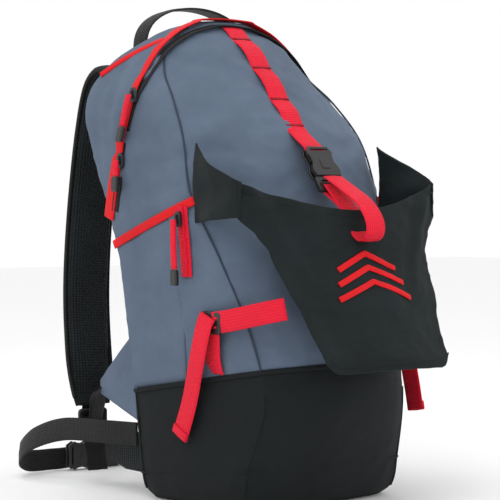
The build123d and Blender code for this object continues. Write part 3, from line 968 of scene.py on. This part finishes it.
def makeSling():
    rows = []
    for r in range(91):
        t = r / 90
        row = []
        for k in range(101):
            s = -1 + 2 * k / 100
            top = sling["middle"] + (sling["corner"] - sling["middle"]) * abs(s) ** 1.7
            z = top + (sling["bottom"] + 10 * max(0, (abs(s) - 0.82) / 0.18) ** 2 - top) * t
            half = along(slingSteps, z, 1)
            row.append(slingFolded(s * half, z))
        rows.append(row)
    cloth = clothMesh("slingCloth", rows, thick=sling["thick"], flip=True)
    finishPiece(cloth, slingNylon, "sling", ("sling_panel",))
    hems = []
    for edge, shift in ((0, 7), (90, -7)):
        points = [rows[edge][k] for k in range(2, 99, 2)]
        outs = [slingNormal(p.x, p.z) for p in points]
        points = [p + n * 0.9 + Vector((0, 0, -shift)) for p, n in zip(points, outs)]
        hems.append(webbing("hem", points, outs, 1.3, 0.9))
    for column in (0, 100):
        points = [rows[r][column] for r in range(24, 88, 2)]
        sign = -1 if column == 0 else 1
        outs = [slingNormal(p.x, p.z) for p in points]
        points = [p + n * 0.9 - Vector((sign * 6, 0, 0)) for p, n in zip(points, outs)]
        hems.append(webbing("hem", points, outs, 1.3, 0.9))
    finishPiece(joinPieces("slingStitching", hems), slingNylon, "sling", ())
    parts = []
    for sign in (-1, 1):
        rows = []
        for r in range(25):
            t = r / 24
            row = []
            for k in range(41):
                s = k / 40
                y = -34 + (-116 + 34) * s
                top = 366 + (326 - 366) * s ** 0.8
                low = 286 + (292 - 286) * s
                z = top + (low - top) * t
                seat = sidePoint(sign, max(y, levelAt(z)[2] + 1), z).x
                x = seat * (1 - min(s * 2.2, 1)) + sign * (128.5 - 30 * max(0, s - 0.86)) * min(s * 2.2, 1)
                crease = 3.0 * math.sin(t * 7 + s * 3) * math.sin(math.pi * s) * sign
                row.append(wrinkled(Vector((x + crease + sign * 1.5, y, z)), Vector((sign, 0, 0)), 1.2, 26, 2.0))
            rows.append(row)
        parts.append(clothMesh("ear", rows, thick=2.2, flip=sign < 0))
    ears = joinPieces("slingEars", parts)
    finishPiece(ears, slingNylon, None, ("sling_ears",))
    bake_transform(ears)


def makeMotif():
    # plain embroidered chevrons
    parts = []
    for lift in (0, 14, 28):
        reach = 46 - lift * 0.35
        route = [Vector((-reach + 2 * reach * k / 60, 0, 212 + lift + 16 * (1 - abs(k - 30) / 30))) for k in range(61)]
        points = [slingFolded(p.x, p.z) + slingNormal(p.x, p.z) * 0.9 for p in route]
        outs = [slingNormal(p.x, p.z) for p in route]
        parts.append(webbing("chevron", points, outs, 6, 1.2))
    finishPiece(joinPieces("slingMotif", parts), redTape, "sling", ("sling_motif",))


makeSling()
makeMotif()
print("sling made")


# Compression straps
def ladderLock(origin, xAxis, yAxis, wide=30, high=20):
    holes = (roundedBox(wide * 0.78, 4.4, 1.4, (0, high * 0.24)), roundedBox(wide * 0.78, 4.4, 1.4, (0, -high * 0.22)))
    body = plate("ladderLock", roundedBox(wide, high, 3), holes, 4.2, origin, xAxis, yAxis, 1.2)
    lip = softBlock("lip", (wide * 0.9, 3, 3), Vector(origin) + Vector(yAxis) * high * 0.46
                    + Vector(xAxis).cross(Vector(yAxis)) * 1.5, xAxis, yAxis, 1.0)
    return [body, lip]


def foldedEnd(point, down, out, wide):
    # the end of a strap, folded back on itself and stitched
    route = [point - down * 9 + out * 1.8, point - down * 1 + out * 1.8, point - down * 0.2 + out * 0.8]
    return webbing("fold", curveThrough(route, 8), out, wide, 1.6)


def makeCompression():
    locks, anchors, webs = [], [], []
    for side, sign in sides:
        out = Vector((sign, 0, 0))
        if sign < 0:
            hang = [(-119, -53, 194), (-121.5, -50.5, 187), (-123, -46.5, 172), (-123.4, -39, 146), (-122.6, -26, 106),
                    (-122.8, -10, 70)]
        else:
            hang = [(119, -55, 194), (123, -57, 186), (129, -62, 168), (132.5, -68, 142), (134.5, -74, 112),
                    (136, -78, 86)]
        route = curveThrough(hang, 60)
        tail = webbing("tail", route, out, 24.5, 1.8)
        fold = foldedEnd(route[-1], (route[-1] - route[-3]).normalized(), out, 24.5)
        finishPiece(joinPieces(f"{side}StrapTail", [tail, fold]), redWebbing, f"{side}_tail", (f"{side}_strap_tail",))
        locks += ladderLock((sign * 115.5, -54, 187), (0, -sign, 0), (0, 0, 1))
        route = curveThrough([sidePoint(sign, -51, 136) + out * 1.2, (sign * 112.4, -52, 152),
                              (sign * 115, -54, 180)], 20)
        anchors.append(webbing("anchor", route, out, 24.5, 1.8))
        route = curveThrough([(sign * 116.5, -58, 187), (sign * 113.5, -84, 191), (sign * 105, -117, 198),
                              (sign * 92, -143, 204)], 40)
        webs.append(webbing("web", route, Vector((sign, -0.5, 0)).normalized(), 22, 1.8))
    finishPiece(joinPieces("ladderLocks", locks), acetal, "bag", ("ladder_locks",))
    finishPiece(joinPieces("strapAnchors", anchors), redWebbing, "bag", ("strap_anchors",))
    webs = joinPieces("slingSideStraps", webs)
    finishPiece(webs, redWebbing, None, ("sling_side_straps",))
    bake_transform(webs)


makeCompression()
print("compression straps made")

# Back pads, shoulder straps and handle
strapRoute = [(149, 445), (176, 450), (198, 432), (211, 385), (218, 320), (219, 255), (214, 200), (206, 150), (196, 104),
              (191, 84)]
strapSpread = [0, 0, 1, 3, 7, 12, 17, 20, 22, 22]


def crownedPad(name, point, normal, columns, rows, thick, seed):
    # a foam pad on a surface: full in the middle and pulled in at its edges
    grid = []
    for r in range(rows + 1):
        row = []
        for c in range(columns + 1):
            s, t = c / columns, r / rows
            p, n = point(s, t), normal(s, t)
            edge = min(s, 1 - s) * 2, min(t, 1 - t) * 2
            crown = (min(edge[0] * 2.6, 1) ** 0.5) * (min(edge[1] * 4, 1) ** 0.5)
            row.append(wrinkled(p + n * (1 + thick * crown), n, 0.8, 22, seed))
        grid.append(row)
    return clothMesh(name, grid, flip=True)


def closedFrom(piece, thick):
    applyModifier(piece, "SOLIDIFY", thickness=thick * mm, offset=-1.0)
    piece.data.shade_smooth()
    return piece


def makeBackPads():
    places = {"leftBackPad": ("left_back_pad", -88, -14, 150, 400), "rightBackPad": ("right_back_pad", 14, 88, 150, 400),
              "lumbarPad": ("lumbar_pad", -88, 88, 62, 140)}
    for name, (node, x0, x1, z0, z1) in places.items():
        def point(s, t, x0=x0, x1=x1, z0=z0, z1=z1):
            return backPoint(x0 + (x1 - x0) * s, z0 + (z1 - z0) * t)
        def normal(s, t):
            return Vector((0, 1, -0.15)).normalized()
        pad = crownedPad(name, point, normal, 30, 60, 8, 1.0)
        closedFrom(pad, 1.6)
        puffed(pad, 1.5)
        finishPiece(pad, meshFoam, "bag", (node,))


def padSection(wide, thick, steps=22):
    # a padded strap's cross-section: full middle, thin bound edges
    ring = []
    for k in range(steps):
        a = 2 * math.pi * k / steps
        x = math.copysign(abs(math.cos(a)) ** 0.55, math.cos(a)) * wide / 2
        y = math.copysign(abs(math.sin(a)) ** 0.75, math.sin(a)) * thick / 2
        ring.append((x, y))
    return ring


def makeShoulderStraps():
    for side, sign in sides:
        points = curveThrough([(sign * (74 + lean), y, z) for lean, (y, z) in zip(strapSpread, strapRoute)], 90)
        rows, edges = [], ([], [])
        for i, p in enumerate(points):
            alongStrap = directionAt(points, i)
            across = Vector((1, 0, 0)) - alongStrap * alongStrap.x
            across.normalize()
            face = across.cross(alongStrap).normalized()
            t = i / 89
            wide = 56 - 12 * max(0, (t - 0.86) / 0.14) ** 2 - 5 * max(0, (0.08 - t) / 0.08)
            thick = 12.5 * (0.55 + 0.45 * min(1, t * 10, (1 - t) * 12))
            row = []
            for x, y in padSection(wide, thick):
                q = p + across * x + face * y
                row.append(wrinkled(q, face, 0.9, 24, 4.0))
            rows.append(row)
            edges[0].append(p + across * (wide / 2 - 0.5))
            edges[1].append(p - across * (wide / 2 - 0.5))
        pad = clothMesh(f"{side}ShoulderPad", rows, loop=True)
        capEnds(pad)
        puffed(pad, 1.8)
        finishPiece(pad, meshFoam, f"{side}_strap", (f"{side}_shoulder_strap",))
        bindings = []
        for edge, way in zip(edges, (1, -1)):
            bindings.append(webbing("edge", edge[2:-2], Vector((way, 0, 0)), 5, 3.2))
        finishPiece(joinPieces(f"{side}PadBinding", bindings), blackWebbing, f"{side}_strap", ())
        lock = ladderLock((sign * 98, 191, 67), (1, 0, 0), (0, 0, 1), 34, 24)
        finishPiece(joinPieces(f"{side}StrapLock", lock), acetal, f"{side}_strap", (f"{side}_strap_lock",))
        route = curveThrough([(sign * 97, 193, 87), (sign * 98, 194, 74), (sign * 98, 189, 61)], 10)
        short = webbing("short", route, (0, 1, 0.2), 25, 2.0)
        route = curveThrough([(sign * 98, 194, 67), (sign * 98, 193, 56), (sign * 98, 186, 36), (sign * 99, 178, 14)], 40)
        free = webbing("free", route, (0, 1, 0), 25, 1.8)
        fold = foldedEnd(route[-1], Vector((0, -0.3, -1)).normalized(), Vector((0, 1, 0)), 25)
        finishPiece(joinPieces(f"{side}StrapEnd", [short, free, fold]), blackWebbing, f"{side}_strap",
                    (f"{side}_strap_webbing",))
        route = curveThrough([(sign * 98, 188, 62), (sign * 103, 174, 82), (sign * 110, 160, 99),
                              (sign * 118, 140, 109)], 40)
        lower = webbing(f"{side}LowerWebbing", route, (sign * 0.5, 0.7, 1), 24, 1.8)
        finishPiece(lower, blackWebbing, None, ())
        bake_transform(lower)
        tab = curveThrough([(sign * 74, 134, 436), (sign * 74, 142, 441), (sign * 74, 152, 446)], 10)
        root = webbing(f"{side}StrapRoot", tab, (0, -0.4, 1), 50, 6)
        finishPiece(root, blackNylon, None, ())
        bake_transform(root)


def makeHandle():
    points = []
    for k in range(61):
        a = math.pi * k / 60
        x = -68 * math.cos(a)
        z = 470 + 49 * math.sin(a) ** 0.75
        points.append(Vector((x, 141 + 2 * math.sin(a), z)))
    outs = routeNormals(points, lambda p: Vector((0, 141, 450)))
    handle = webbing("grabHandle", points, outs, 25, 2.2)
    finishPiece(handle, blackWebbing, "handle", ("grab_handle",))
    feet = []
    for sign in (-1, 1):
        route = curveThrough([(sign * x, y, z) for x, y, z in ((70, 129, 456), (69.5, 137, 461), (68, 140.5, 470),
                                                               (67.5, 141, 474))], 16)
        feet.append(webbing("foot", route, Vector((sign, 0.2, 0.2)).normalized(), 24, 2.4))
    feet = joinPieces("handleFeet", feet)
    finishPiece(feet, blackWebbing, None, ("handle_feet",))
    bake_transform(feet)


makeBackPads()
makeShoulderStraps()
makeHandle()
print("straps and handle made")

# Hip belt and wings
beltLow = 12.9  # height of the belt's middle where it runs along the floor
beltRoute = [(122, 68, 65), (134, 120, 64), (143, 180, 61), (149, 232, 46), (147, 264, 27), (124, 284, 14.5),
             (90, 288, beltLow)]


def makeBelt():
    for side, sign in sides:
        left, right = [(-76, 288, beltLow), (-62, 288, 14)], [(42, 288, beltLow), (2, 288, 13.5), (-16, 288, 15)]
        points = [(sign * x, y, z) for x, y, z in beltRoute] + (left if sign < 0 else right)
        route = curveThrough(points, 120)
        outs = routeNormals(route, lambda p: Vector((0, 150, p.z)))
        belt = webbing(f"{side}Belt", route, outs, 24.5, 2.0)
        finishPiece(belt, blackWebbing, None if sign > 0 else "bag", (f"{side}_belt",))
        if sign > 0:
            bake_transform(belt)
    buckleSocket("beltBuckleSocket", (-75, 283, 16.5), (0, 0, 1), (-1, 0, 0), 32, 34, 10, "bag", "belt_buckle_socket")
    bucklePlug("beltBucklePlug", (-40, 283, 16.5), (0, 0, 1), (-1, 0, 0), 31, 34, 10, 23, "belt_plug",
               "belt_buckle_plug")


def makeWings():
    parts, fins = [], []
    for sign in (-1, 1):
        rows = []
        for r in range(25):
            row = []
            for c in range(25):
                s, t = c / 24, r / 24
                root = Vector((sign * 123.5, 66 + t * 5, 80 + t * 92))
                tip = Vector((sign * 119, 143, 102 + t * 14))
                p = root.lerp(tip, s)
                row.append(wrinkled(p, Vector((sign, 0, 0)), 1.4 * math.sin(math.pi * s), 30, 6.0))
            rows.append(row)
        parts.append(clothMesh("wing", rows, thick=2.6, flip=sign < 0))
        rows = []
        for r in range(21):
            row = []
            for c in range(31):
                s, t = c / 30, r / 20
                y = 68 + 66 * s
                high = 66 - 4 * s - 14 * max(0, s - 0.6) / 0.4
                low = 23 + 7 * max(0, s - 0.6) / 0.4
                swell = 3.2 * (16 * s * (1 - s) * t * (1 - t)) ** 0.4
                row.append(Vector((sign * (109 + swell), y, low + (high - low) * t)))
            rows.append(row)
        fins.append(clothMesh("fin", rows, thick=7, flip=sign < 0))
    wings = joinPieces("sideWings", parts)
    finishPiece(wings, greyNylon, "bag", ("side_wings",))
    fins = joinPieces("hipFins", fins)
    puffed(fins, 1.5)
    finishPiece(fins, meshFoam, "bag", ("hip_fins",))


makeBelt()
makeWings()
print("belt made")


def makeSheetMaterial():
    finish = mouldedMaterial("blackPolyethyleneSheet", "333333", "262626", 0.5)
    board = frame["nodes"]["frame_sheet"]
    for k in range(len(board.material_slots)):
        board.material_slots[k].material = finish


makeSheetMaterial()


# Floor, light and camera
def makeStage():
    bpy.ops.object.select_all(action="DESELECT")
    bpy.ops.mesh.primitive_plane_add(size=12, location=(0, 0, -0.0005))
    floor = bpy.context.view_layer.objects.active
    floor.name = "floor"
    paper = bpy.data.materials.new("paperFloor")
    paper.use_nodes = True
    shader = paper.node_tree.nodes["Principled BSDF"]
    shader.inputs["Base Color"].default_value = linear("f6f6f6")
    shader.inputs["Roughness"].default_value = 0.9
    floor.data.materials.append(paper)
    world = bpy.data.worlds.new("studio")
    world.use_nodes = True
    world.node_tree.nodes["Background"].inputs[0].default_value = (1, 1, 1, 1)
    world.node_tree.nodes["Background"].inputs[1].default_value = 1.0
    bpy.context.scene.world = world
    for name, place, size, power in (("keyLight", (-1.5, -1.0, 2.0), 0.9, 9), ("fillLight", (1.9, -1.1, 1.2), 1.6, 1),
                                     ("topLight", (-0.2, 0.4, 2.2), 1.2, 7)):
        lamp = bpy.data.lights.new(name, "AREA")
        lamp.size = size
        lamp.energy = power
        light = bpy.data.objects.new(name, lamp)
        bpy.context.scene.collection.objects.link(light)
        light.location = place
        light.rotation_euler = (Vector((0, 0, 0.25)) - Vector(place)).to_track_quat("-Z", "Y").to_euler()


def makeCamera():
    settings = {"azimuth": -38.0, "distance": 2.045, "height": 0.31, "lens": 140.2, "down": 1.5, "left": 0.58}
    a = math.radians(settings["azimuth"])
    place = Vector((math.sin(a), -math.cos(a), 0)) * settings["distance"] + Vector((0, 0, settings["height"]))
    heading = a + math.radians(settings["left"])
    down = math.radians(settings["down"])
    look = Vector((-math.sin(heading) * math.cos(down), math.cos(heading) * math.cos(down), -math.sin(down)))
    camera = bpy.data.cameras.new("camera")
    camera.lens = settings["lens"]
    camera.sensor_width = 36
    view = bpy.data.objects.new("camera", camera)
    bpy.context.scene.collection.objects.link(view)
    view.location = place
    view.rotation_euler = look.to_track_quat("-Z", "Y").to_euler()
    bpy.context.scene.camera = view
    bpy.context.scene.view_settings.view_transform = "Standard"


makeStage()
makeCamera()
bpy.context.view_layer.update()
